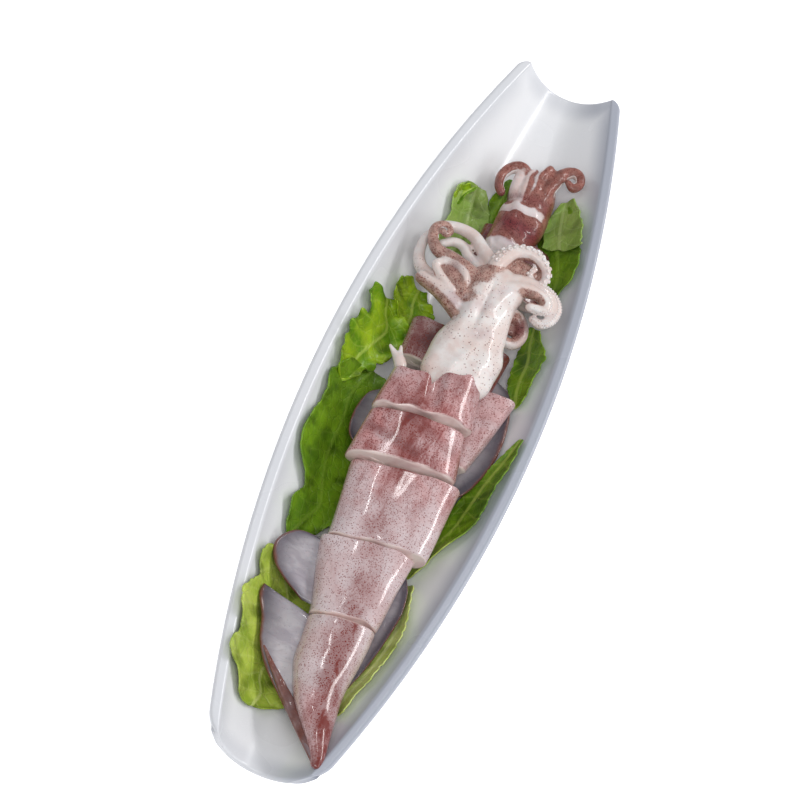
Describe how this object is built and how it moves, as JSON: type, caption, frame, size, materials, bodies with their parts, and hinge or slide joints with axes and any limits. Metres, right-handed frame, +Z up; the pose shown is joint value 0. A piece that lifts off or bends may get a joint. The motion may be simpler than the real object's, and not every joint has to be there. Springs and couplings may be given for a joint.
{
  "type": "whole raw squid platter",
  "caption": "Whole raw squids with sliced mantles, fins, heads and curled arms on lettuce leaves in a long boat-shaped white dish.",
  "frame": {"origin": "on the table under the middle of the dish", "axes": "+Y along the dish towards the squids' arms, +X to the right seen from the tail end, +Z up"},
  "size_m": [0.112, 0.4, 0.0483],
  "materials": {
    "dish": "glossy white melamine",
    "skin": null,
    "head_flesh": "wet whitish flesh with sparse dots and brown arm backs",
    "arm_skin": "wet brown speckled arm skin",
    "fin": "wet grey-lilac translucent fin",
    "lettuce": null,
    "lettuce_pale": "fresh pale yellow-green lettuce leaf"
  },
  "bodies": {
    "root": {"dish": "dish", "front_tail": "skin", "front_slice_b": "skin", "front_slice_c": "skin", "front_slice_d": "skin", "front_slice_e": "skin", "front_head": "head_flesh", "rear_head": "arm_skin", "rear_slice_side": "skin", "rear_slice_middle": "skin", "rear_slice_head": "skin", "rear_tail": "fin", "front_fin_right": "fin", "flesh_stub": "head_flesh", "leaf_top_left": "lettuce", "leaf_top_strip": "lettuce", "leaf_top_right": "lettuce", "leaf_frill": "lettuce", "leaf_fold": "lettuce", "leaf_long_left": "lettuce", "leaf_low_left": "lettuce_pale", "leaf_mid_right": "lettuce", "leaf_long_right": "lettuce", "leaf_low_right": "lettuce_pale"}
  },
  "joints": []
}
